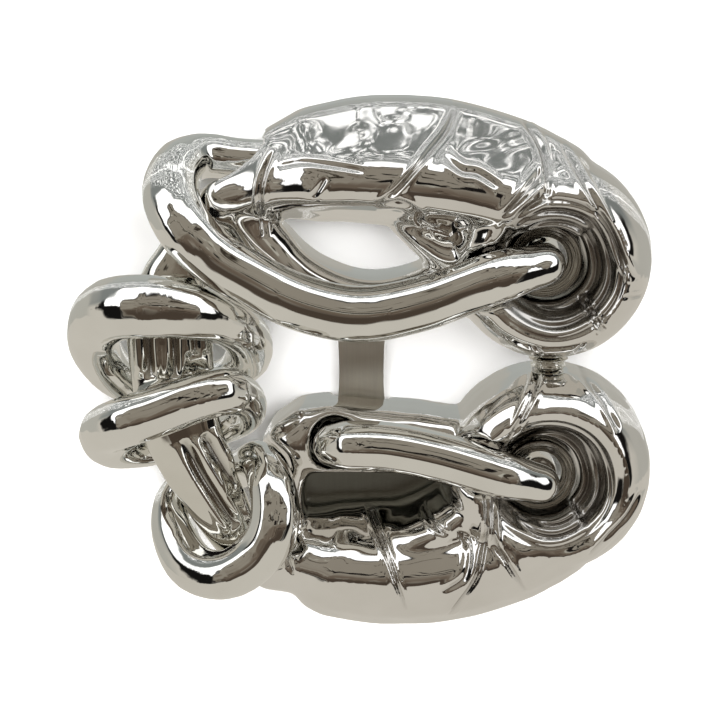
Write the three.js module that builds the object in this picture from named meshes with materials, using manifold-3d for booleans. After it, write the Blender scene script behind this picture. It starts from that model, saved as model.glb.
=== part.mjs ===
// A cast metal ring puzzle lying on its flat back: a C-shaped frame of two fat scrolled bodies
// and a left core, with three closed rings round the core and one long link through each scroll.
// Millimetres. +X runs from the rings to the scrolls, +Y from the lower to the upper body,
// +Z is the polished front. Z = 0 is the plane of the back.

import * as THREE from 'three';
import { mergeVertices } from 'three/addons/utils/BufferGeometryUtils.js';
import Module from 'manifold-3d';

const wasm = await Module();
wasm.setup();

// ---- driving dimensions -------------------------------------------------------------------

const FIT_GAP = 0.3;            // between pieces that are fixed together
const PLAY = 0.5;               // round a strand that can move
const STRAND_FRONT_Z = 11.0;    // height of the long links' front strands
const SECTION_SIDES = 10;
const RING_FLATNESS = 0.92;      // height over width of the rings' section

const UPPER_EYE = new THREE.Vector2(20.0, 11.3);
const LOWER_EYE = new THREE.Vector2(20.0, -13.0);
const EYE_BORE_RADIUS = 4.5;
const POST_BORE_RADIUS = 3.2;
const POST_RADIUS = 1.9;
const UPPER_LINK_SWING = [-1.5, 0];
const LOWER_LINK_SWING = [-1.5, 1.5];

const UPPER_SCROLL = { x: 20.8, y: 11.2, radius: 11.0 };
const LOWER_SCROLL = { x: 20.9, y: -13.0, radius: 11.6 };
const SCROLL_SHOULDER_Z = 5.0;
const SCROLL_CROWN_Z = 11.0;
const SCROLL_DISH_Z = 6.6;

const STRIP_WIDTH = 5.4;
const STRIP_THICKNESS = 1.0;
const RIVET_SHANK_RADIUS = 0.9;
const RIVET_HEAD_RADIUS = 1.6;
const RIVET_LENGTH = 3.4;
const DOWEL_RADIUS = 0.9;
const DOWEL_LENGTH = 5.0;

// Fat limbs: x, y, half width, underside, shoulder and crown heights.
const UPPER_LIMB = [
  [-16.3, 15.4, 2.7, 4.2, 5.0, 7.7],
  [-15.3, 17.3, 3.5, 4.2, 5.0, 7.8],
  [-12.6, 18.9, 3.8, 4.2, 5.2, 8.6],
  [-9.4, 20.2, 4.9, 2.4, 5.0, 9.8],
  [-4.5, 21.2, 6.2, 0.0, 4.2, 11.6],
  [1.8, 21.6, 6.9, 0.0, 3.8, 12.3],
  [8.4, 21.0, 7.2, 0.0, 3.8, 12.4],
  [14.8, 19.5, 7.0, 0.0, 4.0, 12.0],
  [20.2, 17.6, 6.4, 0.0, 4.4, 11.2],
  [24.0, 15.2, 5.2, 0.0, 5.0, 10.4],
];
const LOWER_LIMB = [
  [-11.9, -23.5, 2.6, 4.2, 4.8, 7.6],
  [-10.0, -24.2, 3.2, 1.8, 4.2, 7.8],
  [-7.0, -23.6, 4.9, 0.0, 4.0, 9.0],
  [-3.0, -24.3, 6.4, 0.0, 3.4, 10.2],
  [2.3, -24.7, 6.9, 0.0, 3.0, 10.8],
  [9.0, -24.3, 7.0, 0.0, 3.0, 11.0],
  [15.5, -22.6, 6.8, 0.0, 3.4, 11.0],
  [21.0, -20.2, 6.0, 0.0, 4.4, 10.9],
  [24.6, -17.6, 5.0, 0.0, 5.0, 10.4],
];

// Slim limbs under the links' front strands, in the same columns.
const UPPER_SLIM_LIMB = [
  [-13.0, 16.6, 2.8, 4.2, 5.0, 7.6],
  [-10.6, 12.2, 3.5, 1.0, 4.6, 7.6],
  [-5.8, 8.2, 3.0, 0.0, 4.6, 7.6],
  [0.6, 6.2, 2.8, 0.0, 4.6, 7.6],
  [6.6, 7.0, 2.9, 0.0, 4.6, 7.6],
  [13.4, 9.4, 4.4, 0.0, 4.6, 7.6],
];
const LOWER_SLIM_LIMB = [
  [-7.6, -23.2, 1.8, 0.0, 4.0, 6.6],
  [-8.0, -18.0, 1.9, 0.0, 3.6, 6.4],
  [-8.5, -12.8, 3.1, 0.0, 4.2, 6.8],
  [-5.7, -9.6, 4.1, 0.0, 5.0, 7.6],
  [1.8, -9.5, 3.8, 0.0, 5.0, 7.7],
  [7.4, -9.9, 3.7, 0.0, 5.0, 7.7],
  [13.4, -11.6, 4.4, 0.0, 5.0, 7.6],
];

// The webs that close the right ends of the two windows.
const UPPER_WEB = [
  [4.2, 15.2, 1.4, 0.0, 3.0, 6.0],
  [7.2, 13.0, 1.8, 0.0, 3.6, 7.4],
  [9.8, 11.4, 2.4, 0.0, 4.2, 8.0],
  [13.4, 10.4, 3.0, 0.0, 4.6, 7.6],
];
const LOWER_WEB = [
  [2.0, -22.2, 3.4, 0.0, 3.0, 8.0],
  [6.0, -20.7, 3.4, 0.0, 3.0, 9.4],
  [10.0, -18.7, 3.4, 0.0, 3.0, 9.8],
  [12.9, -16.0, 3.3, 0.0, 3.4, 9.4],
  [14.2, -12.8, 3.0, 0.0, 4.0, 7.6],
];

// Half sections from the north edge to the south edge: how far across, from 1 to -1, and how
// far up from the shoulder to the crown, from 0 to 1.
const ROUND_SECTION = [0, 18, 36, 54, 72, 90, 108, 126, 144, 162, 180]
  .map(THREE.MathUtils.degToRad)
  .map((angle) => [Math.cos(angle), Math.sin(angle)]);
const UPPER_SECTION = [
  [1.0, 0.0],
  [0.97, 0.08],
  [0.6, 0.47],
  [0.24, 0.84],
  [0.1, 0.94],
  [-0.1, 0.99],
  [-0.3, 1.0],
  [-0.44, 0.93],
  [-0.6, 0.7],
  [-0.9, 0.15],
  [-1.0, 0.0],
];
const LOWER_SECTION = [
  [1.0, 0.0],
  [0.97, 0.06],
  [0.76, 0.38],
  [0.55, 0.7],
  [0.4, 0.85],
  [0.2, 0.96],
  [0.05, 1.0],
  [-0.25, 0.96],
  [-0.6, 0.8],
  [-0.9, 0.45],
  [-1.0, 0.15],
];

// Core between the two bodies: x, y, z, half width, half thickness.
const CORE = [
  [-16.8, 14.6, 5.6, 2.8, 1.7],
  [-18.8, 11.6, 5.7, 3.2, 1.8],
  [-20.4, 8.0, 6.0, 3.9, 2.0],
  [-20.9, 3.4, 6.0, 4.8, 1.8],
  [-20.6, -2.0, 6.1, 4.7, 1.9],
  [-20.1, -7.0, 6.1, 4.6, 2.0],
  [-18.4, -11.6, 6.1, 4.1, 2.0],
  [-16.3, -16.0, 6.0, 3.5, 1.9],
  [-14.2, -20.0, 6.0, 3.0, 1.8],
  [-12.8, -22.2, 5.9, 2.7, 1.7],
];

// Closed rings: x, y, z and strand radius, front strand first.
const UPPER_RING = [
  [-22.5, 7.4, 11.8, 3.5],
  [-27.0, 6.4, 9.6, 3.5],
  [-29.3, 2.6, 5.8, 2.9],
  [-28.3, -1.6, 2.6, 2.7],
  [-25.4, -4.2, 1.7, 2.3],
  [-19.5, -4.2, 1.4, 2.1],
  [-14.6, -2.9, 1.5, 2.1],
  [-12.5, -0.6, 2.3, 2.6],
  [-12.6, 2.6, 5.6, 2.7],
  [-14.8, 5.3, 9.5, 2.6],
  [-18.4, 6.8, 11.3, 3.1],
];
const MIDDLE_RING = [
  [-17.6, -2.7, 11.3, 2.8],
  [-14.8, -2.4, 10.2, 2.7],
  [-13.0, -3.8, 7.6, 2.4],
  [-12.8, -6.7, 4.0, 2.2],
  [-15.6, -8.9, 1.6, 2.1],
  [-20.0, -10.4, 1.4, 2.1],
  [-25.0, -11.4, 1.9, 2.3],
  [-28.0, -10.2, 4.6, 2.6],
  [-28.1, -7.4, 8.4, 2.7],
  [-25.8, -5.8, 10.7, 2.8],
  [-22.0, -4.4, 11.3, 2.8],
];
const LOWER_RING = [
  [-11.0, -20.6, 11.1, 2.8],
  [-14.6, -23.2, 11.0, 2.8],
  [-18.6, -23.3, 8.6, 2.8],
  [-21.0, -20.4, 5.2, 2.6],
  [-20.9, -16.9, 2.4, 2.2],
  [-17.4, -15.3, 1.4, 2.1],
  [-13.6, -13.9, 2.0, 2.2],
  [-11.2, -11.9, 5.4, 2.4],
  [-9.8, -13.4, 8.8, 2.6],
  [-9.3, -17.0, 10.9, 2.8],
];

// Long links, each a front rod and a back rod: x, y, z and strand radius.
const UPPER_LINK_FRONT = [
  [19.8, 11.5, 9.8, 2.3],
  [15.0, 10.6, STRAND_FRONT_Z, 2.9],
  [10.7, 9.0, STRAND_FRONT_Z, 2.9],
  [6.4, 7.5, STRAND_FRONT_Z, 3.0],
  [0.0, 6.4, STRAND_FRONT_Z + 0.1, 3.1],
  [-6.4, 7.7, STRAND_FRONT_Z + 0.1, 3.1],
  [-11.7, 10.3, STRAND_FRONT_Z, 3.0],
  [-15.5, 12.6, STRAND_FRONT_Z, 3.0],
  [-18.3, 15.4, 10.8, 3.1],
  [-20.1, 18.5, 8.5, 3.1],
  [-19.7, 21.1, 5.2, 2.9],
  [-17.4, 22.1, 2.6, 2.5],
  [-13.4, 21.6, 1.8, 2.3],
  [-9.0, 21.4, 1.6, 2.2],
];
const UPPER_LINK_BACK = [
  [-8.4, 21.4, 1.6, 2.1],
  [-3.0, 21.2, 1.6, 2.1],
  [2.0, 21.0, 1.6, 2.1],
  [8.0, 20.4, 1.6, 2.1],
  [14.2, 18.2, 1.6, 2.1],
  [18.0, 14.8, 1.6, 2.1],
  [20.0, 11.3, 1.6, 2.1],
];
const LOWER_LINK_FRONT = [
  [19.8, -13.1, 9.8, 2.2],
  [15.3, -11.6, STRAND_FRONT_Z, 2.6],
  [8.8, -9.6, STRAND_FRONT_Z, 2.7],
  [3.0, -8.4, STRAND_FRONT_Z, 2.7],
  [-0.8, -8.3, STRAND_FRONT_Z - 0.2, 2.7],
  [-2.7, -9.0, 8.6, 2.5],
  [-2.9, -9.6, 6.0, 2.1],
  [-1.8, -9.9, 4.0, 1.9],
  [0.2, -10.0, 3.3, 1.9],
  [1.4, -10.0, 3.3, 1.9],
];
const LOWER_LINK_BACK = [
  [2.0, -10.0, 3.3, 1.9],
  [6.0, -10.1, 3.3, 1.9],
  [12.0, -10.8, 3.3, 1.9],
  [16.4, -12.0, 3.3, 1.9],
  [20.0, -13.0, 3.3, 1.9],
];

// ---- shape helpers ------------------------------------------------------------------------

// Joins equal rings of points into one closed surface, capped or wrapped round on itself.
function skin(rings, wrapped) {
  const sides = rings[0].length;
  const positions = rings.flat().flatMap((p) => [p.x, p.y, p.z]);
  const index = [];
  const last = wrapped ? rings.length : rings.length - 1;
  for (let i = 0; i < last; i += 1) {
    const here = i * sides;
    const next = ((i + 1) % rings.length) * sides;
    for (let j = 0; j < sides; j += 1) {
      const k = (j + 1) % sides;
      index.push(here + j, here + k, next + k, here + j, next + k, next + j);
    }
  }
  if (!wrapped) {
    for (const [ring, turn] of [[0, false], [rings.length - 1, true]]) {
      const start = ring * sides;
      const centre = positions.length / 3;
      const middle = rings[ring].reduce((sum, p) => sum.add(p), new THREE.Vector3());
      middle.divideScalar(sides);
      positions.push(middle.x, middle.y, middle.z);
      for (let j = 0; j < sides; j += 1) {
        const k = (j + 1) % sides;
        index.push(centre, start + (turn ? j : k), start + (turn ? k : j));
      }
    }
  }
  const geometry = new THREE.BufferGeometry();
  geometry.setAttribute('position', new THREE.Float32BufferAttribute(positions, 3));
  geometry.setIndex(index);
  return geometry;
}

// A smooth path through the first columns of a table, with its other columns along it.
function pathThrough(table, closed) {
  const points = table.map(([x, y, z]) => new THREE.Vector3(x, y, z));
  const curve = new THREE.CatmullRomCurve3(points, closed, 'centripetal');
  const spans = closed ? table.length : table.length - 1;
  const columnAt = (u, column) => {
    const t = curve.getUtoTmapping(u) * spans;
    const i = Math.min(Math.floor(t), spans - 1);
    const ease = THREE.MathUtils.smoothstep(t - i, 0, 1);
    const next = table[(i + 1) % table.length];
    return THREE.MathUtils.lerp(table[i][column], next[column], ease);
  };
  return { curve, columnAt };
}

// A strand along a table of x, y, z and radius. Its section can be lower than it is wide.
// Open ends are rounded or square.
function strand(table, options) {
  const { closed = false, steps, grow = 0, flat = 1, endCaps = [0, 0] } = options;
  const { curve, columnAt } = pathThrough(table, closed);
  const frames = curve.computeFrenetFrames(steps, closed);
  const rings = [];
  const addRing = (i, shift, scale) => {
    const u = i / steps;
    const centre = curve.getPointAt(u).addScaledVector(frames.tangents[i], shift);
    const radius = (columnAt(u, 3) + grow) * scale;
    const ring = [];
    for (let j = 0; j < SECTION_SIDES; j += 1) {
      const angle = (j / SECTION_SIDES) * Math.PI * 2;
      const point = centre.clone();
      point.addScaledVector(frames.normals[i], radius * Math.cos(angle));
      point.addScaledVector(frames.binormals[i], radius * Math.sin(angle));
      point.z = centre.z + (point.z - centre.z) * flat;
      ring.push(point);
    }
    rings.push(ring);
  };
  const roundEnd = (i, direction, size) => {
    const angles = [75, 50, 25].map(THREE.MathUtils.degToRad);
    const order = direction < 0 ? angles : [...angles].reverse();
    for (const angle of order) {
      addRing(i, direction * size * Math.sin(angle), Math.cos(angle));
    }
  };
  if (endCaps[0]) roundEnd(0, -1, endCaps[0] + grow);
  const count = closed ? steps : steps + 1;
  for (let i = 0; i < count; i += 1) addRing(i, 0, 1);
  if (endCaps[1]) roundEnd(steps, 1, endCaps[1] + grow);
  return skin(rings, closed);
}

// A limb with upright sides and a domed front along a table of stations. Its section starts
// and ends round, and is the given one in between.
function limb(stations, steps, section = ROUND_SECTION) {
  const table = stations.map(([x, y, ...rest]) => [x, y, 0, ...rest]);
  const { curve, columnAt } = pathThrough(table, false);
  const rings = [];
  for (let i = 0; i <= steps; i += 1) {
    const u = i / steps;
    const centre = curve.getPointAt(u);
    const tangent = curve.getTangentAt(u);
    const across = new THREE.Vector3(-tangent.y, tangent.x, 0);
    const [half, low, shoulder, crown] = [3, 4, 5, 6].map((column) => columnAt(u, column));
    const share = THREE.MathUtils.smoothstep(Math.min(u, 1 - u), 0, 0.2);
    const ring = [];
    const add = (n, z) => ring.push(centre.clone().addScaledVector(across, n).setZ(z));
    add(-half, low);
    add(half, low);
    for (let j = 0; j < section.length; j += 1) {
      const [n, rise] = [0, 1].map((k) => THREE.MathUtils.lerp(ROUND_SECTION[j][k], section[j][k], share));
      add(half * n, shoulder + (crown - shoulder) * rise);
    }
    rings.push(ring);
  }
  return skin(rings, false);
}

// A bar whose oval section lies flat, along a table of x, y, z, half width and half thickness.
function ovalBar(table, steps) {
  const { curve, columnAt } = pathThrough(table, false);
  const rings = [];
  for (let i = 0; i <= steps; i += 1) {
    const u = i / steps;
    const centre = curve.getPointAt(u);
    const tangent = curve.getTangentAt(u);
    const across = new THREE.Vector3(-tangent.y, tangent.x, 0).normalize();
    const ring = [];
    for (let j = 0; j < SECTION_SIDES + 4; j += 1) {
      const angle = (j / (SECTION_SIDES + 4)) * Math.PI * 2;
      const point = centre.clone().addScaledVector(across, columnAt(u, 3) * Math.cos(angle));
      point.z += columnAt(u, 4) * Math.sin(angle);
      ring.push(point);
    }
    rings.push(ring);
  }
  return skin(rings, false);
}

// Presses everything below the back plane flat onto it.
function flattenBack(geometry) {
  const position = geometry.getAttribute('position');
  for (let i = 0; i < position.count; i += 1) {
    position.setZ(i, Math.max(position.getZ(i), 0));
  }
  return geometry;
}

function cylinderBetween(from, to, radius) {
  const along = new THREE.Vector3().subVectors(to, from);
  const geometry = new THREE.CylinderGeometry(radius, radius, along.length(), 20);
  const up = new THREE.Vector3(0, 1, 0);
  geometry.applyQuaternion(new THREE.Quaternion().setFromUnitVectors(up, along.clone().normalize()));
  const middle = new THREE.Vector3().addVectors(from, to).multiplyScalar(0.5);
  return geometry.translate(middle.x, middle.y, middle.z);
}

function uprightCylinder(x, y, low, high, radius) {
  return cylinderBetween(new THREE.Vector3(x, y, low), new THREE.Vector3(x, y, high), radius);
}

function latheUpright(profile, x, y, segments = 36) {
  const points = profile.map(([radius, z]) => new THREE.Vector2(radius, z));
  const geometry = new THREE.LatheGeometry(points, segments);
  return geometry.rotateX(Math.PI / 2).translate(x, y, 0);
}

// ---- joining and cutting ------------------------------------------------------------------

function toSolid(geometry) {
  const bare = geometry.clone();
  bare.deleteAttribute('normal');
  bare.deleteAttribute('uv');
  const merged = mergeVertices(bare, 1e-4);
  const vertProperties = new Float32Array(merged.getAttribute('position').array);
  const triVerts = new Uint32Array(merged.getIndex().array);
  return new wasm.Manifold(new wasm.Mesh({ numProp: 3, vertProperties, triVerts }));
}

function toGeometry(solid) {
  const mesh = solid.getMesh();
  const geometry = new THREE.BufferGeometry();
  geometry.setAttribute('position', new THREE.Float32BufferAttribute(mesh.vertProperties, 3));
  geometry.setIndex(new THREE.Uint32BufferAttribute(mesh.triVerts, 1));
  return geometry;
}

function join(geometries) {
  return geometries.map(toSolid).reduce((whole, piece) => whole.add(piece));
}

function cut(solid, geometries) {
  return geometries.map(toSolid).reduce((rest, piece) => rest.subtract(piece), solid);
}

function turnedAbout(geometry, eye, angle) {
  const copy = geometry.clone().translate(-eye.x, -eye.y, 0);
  return copy.rotateZ(angle).translate(eye.x, eye.y, 0);
}

// The room that a swinging rod needs, open to the front or to the back.
function swingRoom(table, eye, swings, openStep) {
  const rooms = [];
  for (const swing of swings.map(THREE.MathUtils.degToRad)) {
    for (const level of [0, openStep]) {
      const room = strand(table, { steps: 20, grow: PLAY, endCaps: [1.6, 1.6] });
      rooms.push(turnedAbout(room, eye, swing).translate(0, 0, level));
    }
  }
  return rooms;
}

// ---- the frame ----------------------------------------------------------------------------

// A dished ring with a domed rim: the end of the body, curled round its eye.
function scroll({ x, y, radius }) {
  const profile = [
    [POST_BORE_RADIUS, 0],
    [radius, 0],
    [radius, SCROLL_SHOULDER_Z],
    [radius - 0.4, SCROLL_SHOULDER_Z + 2.6],
    [radius - 1.5, SCROLL_CROWN_Z - 1.4],
    [radius - 3.2, SCROLL_CROWN_Z],
    [radius - 5.0, SCROLL_CROWN_Z - 1.2],
    [radius - 6.2, SCROLL_DISH_Z + 0.6],
    [POST_BORE_RADIUS, SCROLL_DISH_Z],
    [POST_BORE_RADIUS, 0],
  ];
  return latheUpright(profile, x, y);
}

// The eye: a through hole for the link's post and a wider seat above it for the collar.
function eyeCuts(eye) {
  return [
    uprightCylinder(eye.x, eye.y, -1, 20, POST_BORE_RADIUS),
    uprightCylinder(eye.x, eye.y, COLLAR_LOW_Z - FIT_GAP, 20, EYE_BORE_RADIUS),
  ];
}

const COLLAR_LOW_Z = 5.6;
const COLLAR_HIGH_Z = 7.4;

function eyeCollar(eye) {
  const outer = EYE_BORE_RADIUS - FIT_GAP - 0.1;
  const inner = POST_RADIUS + PLAY;
  const profile = [
    [inner, COLLAR_LOW_Z],
    [outer, COLLAR_LOW_Z],
    [outer, COLLAR_HIGH_Z - 0.7],
    [outer - 0.5, COLLAR_HIGH_Z],
    [outer - 0.9, COLLAR_HIGH_Z],
    [inner + 0.3, COLLAR_HIGH_Z - 1.0],
    [inner, COLLAR_HIGH_Z - 1.3],
    [inner, COLLAR_LOW_Z],
  ];
  return latheUpright(profile, eye.x, eye.y);
}

const CORE_UPPER_END = new THREE.Vector3(-16.5, 14.7, 5.7);
const CORE_LOWER_END = new THREE.Vector3(-12.4, -22.8, 5.8);

// A dowel across the joint between two stations of the frame, or its socket.
function coreDowel(at, from, to, extra) {
  const direction = new THREE.Vector3(to[0] - from[0], to[1] - from[1], 0).normalize();
  const reach = DOWEL_LENGTH / 2 + extra;
  const start = at.clone().addScaledVector(direction, -reach);
  const end = at.clone().addScaledVector(direction, reach);
  return cylinderBetween(start, end, DOWEL_RADIUS + extra);
}

function upperCoreDowel(extra) {
  return coreDowel(CORE_UPPER_END, CORE[0], UPPER_LIMB[1], extra);
}

function lowerCoreDowel(extra) {
  return coreDowel(CORE_LOWER_END, CORE[CORE.length - 1], LOWER_LIMB[1], extra);
}

const NECK_X = 20.9;
const NECK_Z = 4.2;
const NECK_TOP_Y = UPPER_SCROLL.y - UPPER_SCROLL.radius;
const NECK_LOW_Y = LOWER_SCROLL.y + LOWER_SCROLL.radius;

// A waisted spool between the scrolls, with a spigot that enters each of them.
function neck() {
  const middle = (NECK_TOP_Y + NECK_LOW_Y) / 2;
  const halfGap = (NECK_TOP_Y - NECK_LOW_Y) / 2 - FIT_GAP;
  const profile = [
    [0, -halfGap - 3.0],
    [1.2, -halfGap - 3.0],
    [1.2, -halfGap],
    [2.4, -halfGap],
    [1.7, -halfGap * 0.4],
    [1.7, halfGap * 0.4],
    [2.4, halfGap],
    [1.2, halfGap],
    [1.2, halfGap + 3.0],
    [0, halfGap + 3.0],
  ];
  const points = profile.map(([radius, y]) => new THREE.Vector2(radius, y));
  return new THREE.LatheGeometry(points, 28).translate(NECK_X, middle, NECK_Z);
}

function neckSocket() {
  const from = new THREE.Vector3(NECK_X, NECK_LOW_Y - 3.6, NECK_Z);
  const to = new THREE.Vector3(NECK_X, NECK_TOP_Y + 3.6, NECK_Z);
  return cylinderBetween(from, to, 1.2 + FIT_GAP);
}

// ---- the rear strip and its rivets --------------------------------------------------------

const STRIP_X = 0.15;
const STRIP_RIVETS = {
  upper_strip_rivet: [STRIP_X, 6.1],
  lower_left_strip_rivet: [-3.6, -21.2],
  lower_right_strip_rivet: [5.8, -21.2],
};

// A flat strap, waisted in the gap, that widens into a plate behind the lower window.
function stripOutline(extra) {
  const half = STRIP_WIDTH / 2 + extra;
  const shape = new THREE.Shape();
  shape.moveTo(STRIP_X - half, 8.2 + extra);
  shape.lineTo(STRIP_X - half, 2.0);
  shape.quadraticCurveTo(STRIP_X - half + 0.4, -2.6, STRIP_X - half, -7.0);
  shape.lineTo(STRIP_X - half, -11.4 + extra);
  shape.quadraticCurveTo(-6.6 - extra, -11.6 + extra, -6.6 - extra, -14.0);
  shape.lineTo(-6.6 - extra, -20.6);
  shape.quadraticCurveTo(-6.6 - extra, -23.0 - extra, -4.2, -23.0 - extra);
  shape.lineTo(6.6, -23.0 - extra);
  shape.quadraticCurveTo(11.2 + extra, -20.6 - extra, 11.8 + extra, -14.6);
  shape.quadraticCurveTo(9.0 + extra, -12.6 + extra, STRIP_X + half, -11.4 + extra);
  shape.lineTo(STRIP_X + half, -7.0);
  shape.quadraticCurveTo(STRIP_X + half - 0.4, -2.6, STRIP_X + half, 2.0);
  shape.lineTo(STRIP_X + half, 8.2 + extra);
  shape.closePath();
  return shape;
}

function stripSolid(extra, low, high) {
  const options = { depth: high - low, bevelEnabled: false, curveSegments: 8 };
  return new THREE.ExtrudeGeometry(stripOutline(extra), options).translate(0, 0, low);
}

function rivet([x, y]) {
  const profile = [
    [0, 0],
    [RIVET_HEAD_RADIUS, 0],
    [RIVET_HEAD_RADIUS, 0.4],
    [RIVET_SHANK_RADIUS, 0.7],
    [RIVET_SHANK_RADIUS, RIVET_LENGTH],
    [0, RIVET_LENGTH],
  ];
  return latheUpright(profile, x, y, 20);
}

function rivetHole([x, y]) {
  const profile = [
    [0, -1],
    [RIVET_HEAD_RADIUS + FIT_GAP, -1],
    [RIVET_HEAD_RADIUS + FIT_GAP, 0.4 + FIT_GAP],
    [RIVET_SHANK_RADIUS + FIT_GAP, 0.7 + FIT_GAP],
    [RIVET_SHANK_RADIUS + FIT_GAP, RIVET_LENGTH + FIT_GAP],
    [0, RIVET_LENGTH + FIT_GAP],
  ];
  return latheUpright(profile, x, y, 20);
}

function rearStrip() {
  const solid = toSolid(stripSolid(0, 0, STRIP_THICKNESS));
  return toGeometry(cut(solid, Object.values(STRIP_RIVETS).map(rivetHole)));
}

// ---- the two bodies -----------------------------------------------------------------------

const FRONT_CAPS = [2.2, 0];
const stripRoom = () => stripSolid(FIT_GAP + 0.15, -1, STRIP_THICKNESS + FIT_GAP);
const ringRoom = (table) => strand(table, { closed: true, steps: 28, grow: PLAY + 0.1 });

// The core with its fitting gap, run on past both ends.
function coreRoom() {
  const grown = CORE.map(([x, y, z, half, thick]) => [x, y, z, half + FIT_GAP, thick + FIT_GAP]);
  const runOn = (end, next) => {
    const direction = new THREE.Vector2(end[0] - next[0], end[1] - next[1]).setLength(FIT_GAP);
    return [end[0] + direction.x, end[1] + direction.y, ...end.slice(2)];
  };
  const last = grown.length - 1;
  const start = runOn(grown[0], grown[1]);
  const finish = runOn(grown[last], grown[last - 1]);
  return ovalBar([start, ...grown, finish], 28);
}

function upperBody() {
  const whole = join([
    limb(UPPER_LIMB, 24, UPPER_SECTION),
    scroll(UPPER_SCROLL),
    limb(UPPER_SLIM_LIMB, 16),
    limb(UPPER_WEB, 8),
  ]);
  const cuts = [
    ...eyeCuts(UPPER_EYE),
    ...swingRoom(UPPER_LINK_FRONT, UPPER_EYE, UPPER_LINK_SWING, 2.2),
    ...swingRoom(UPPER_LINK_BACK, UPPER_EYE, UPPER_LINK_SWING, -1.6),
    ringRoom(UPPER_RING),
    coreRoom(),
    upperCoreDowel(FIT_GAP),
    neckSocket(),
    stripRoom(),
    rivetHole(STRIP_RIVETS.upper_strip_rivet),
  ];
  return toGeometry(cut(whole, cuts));
}

function lowerBody() {
  const whole = join([
    limb(LOWER_LIMB, 22, LOWER_SECTION),
    scroll(LOWER_SCROLL),
    limb(LOWER_SLIM_LIMB, 18),
    limb(LOWER_WEB, 8, LOWER_SECTION),
  ]);
  const cuts = [
    ...eyeCuts(LOWER_EYE),
    ...swingRoom(LOWER_LINK_FRONT, LOWER_EYE, LOWER_LINK_SWING, 2.2),
    ...swingRoom(LOWER_LINK_BACK, LOWER_EYE, LOWER_LINK_SWING, -2.0),
    ringRoom(LOWER_RING),
    ringRoom(MIDDLE_RING),
    coreRoom(),
    lowerCoreDowel(FIT_GAP),
    neckSocket(),
    stripRoom(),
    rivetHole(STRIP_RIVETS.lower_left_strip_rivet),
    rivetHole(STRIP_RIVETS.lower_right_strip_rivet),
  ];
  return toGeometry(cut(whole, cuts));
}

function coreStrand() {
  const solid = toSolid(ovalBar(CORE, 26));
  return toGeometry(cut(solid, [upperCoreDowel(FIT_GAP), lowerCoreDowel(FIT_GAP)]));
}

// ---- the links and rings ------------------------------------------------------------------

const POST_SPIGOT_RADIUS = 1.2;
const POST_TOP_Z = 6.8;
const SPIGOT_TOP_Z = 9.6;

function closedRing(table) {
  return flattenBack(strand(table, { closed: true, steps: 34, flat: RING_FLATNESS }));
}

// The front rod ends over the eye, with a blind socket underneath for the back rod's spigot.
function linkFront(table, eye, steps, dowelCut) {
  const rod = strand(table, { steps, endCaps: FRONT_CAPS });
  const socket = uprightCylinder(eye.x, eye.y, 0, SPIGOT_TOP_Z + FIT_GAP, POST_SPIGOT_RADIUS + FIT_GAP);
  return toGeometry(cut(toSolid(flattenBack(rod)), [socket, dowelCut]));
}

// The back rod runs behind the body and comes up through the eye.
function linkBack(table, eye, steps, dowelCut) {
  const rod = flattenBack(strand(table, { steps, endCaps: [0, POST_RADIUS] }));
  const low = table[table.length - 1][2];
  const post = uprightCylinder(eye.x, eye.y, low, POST_TOP_Z, POST_RADIUS);
  const spigot = uprightCylinder(eye.x, eye.y, low, SPIGOT_TOP_Z, POST_SPIGOT_RADIUS);
  return toGeometry(cut(join([rod, post, spigot]), [dowelCut]));
}

// A dowel across the butt joint between a link's two rods, or its socket.
function linkDowel(front, back, extra) {
  const [a, b] = [front[front.length - 1], back[0]];
  const [c, d] = [front[front.length - 2], back[1]];
  const at = new THREE.Vector3((a[0] + b[0]) / 2, (a[1] + b[1]) / 2, (a[2] + b[2]) / 2);
  const direction = new THREE.Vector3(d[0] - c[0], d[1] - c[1], d[2] - c[2]).normalize();
  const reach = 1.5 + extra;
  const start = at.clone().addScaledVector(direction, -reach);
  return cylinderBetween(start, at.addScaledVector(direction, reach), 0.7 + extra);
}

// ---- the assembly -------------------------------------------------------------------------

const polished = () => new THREE.MeshStandardMaterial({ color: '#c9c7c2', roughness: 0.08, metalness: 1 });
const brushed = () => new THREE.MeshStandardMaterial({ color: '#8c8478', roughness: 0.42, metalness: 1 });
const plainSteel = () => new THREE.MeshStandardMaterial({ color: '#9a9a98', roughness: 0.35, metalness: 1 });

const puzzle = new THREE.Group();

function addPiece(name, geometry, material) {
  const piece = new THREE.Mesh(geometry, material);
  piece.name = name;
  puzzle.add(piece);
}

addPiece('upper_body', upperBody(), polished());
addPiece('lower_body', lowerBody(), polished());
addPiece('core_strand', coreStrand(), polished());
addPiece('right_neck', neck(), polished());
addPiece('upper_eye_collar', eyeCollar(UPPER_EYE), polished());
addPiece('lower_eye_collar', eyeCollar(LOWER_EYE), polished());
addPiece('upper_core_dowel', upperCoreDowel(0), plainSteel());
addPiece('lower_core_dowel', lowerCoreDowel(0), plainSteel());
addPiece('rear_strip', rearStrip(), brushed());
for (const [name, place] of Object.entries(STRIP_RIVETS)) {
  addPiece(name, rivet(place), plainSteel());
}

const LINKS = {
  upper: [UPPER_LINK_FRONT, UPPER_LINK_BACK, UPPER_EYE, 44, 18],
  lower: [LOWER_LINK_FRONT, LOWER_LINK_BACK, LOWER_EYE, 32, 10],
};
for (const [place, [front, back, eye, frontSteps, backSteps]] of Object.entries(LINKS)) {
  const dowelRoom = linkDowel(front, back, FIT_GAP);
  addPiece(`${place}_link_front`, linkFront(front, eye, frontSteps, dowelRoom), polished());
  addPiece(`${place}_link_back`, linkBack(back, eye, backSteps, dowelRoom), polished());
  addPiece(`${place}_link_dowel`, linkDowel(front, back, 0), plainSteel());
}

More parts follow.
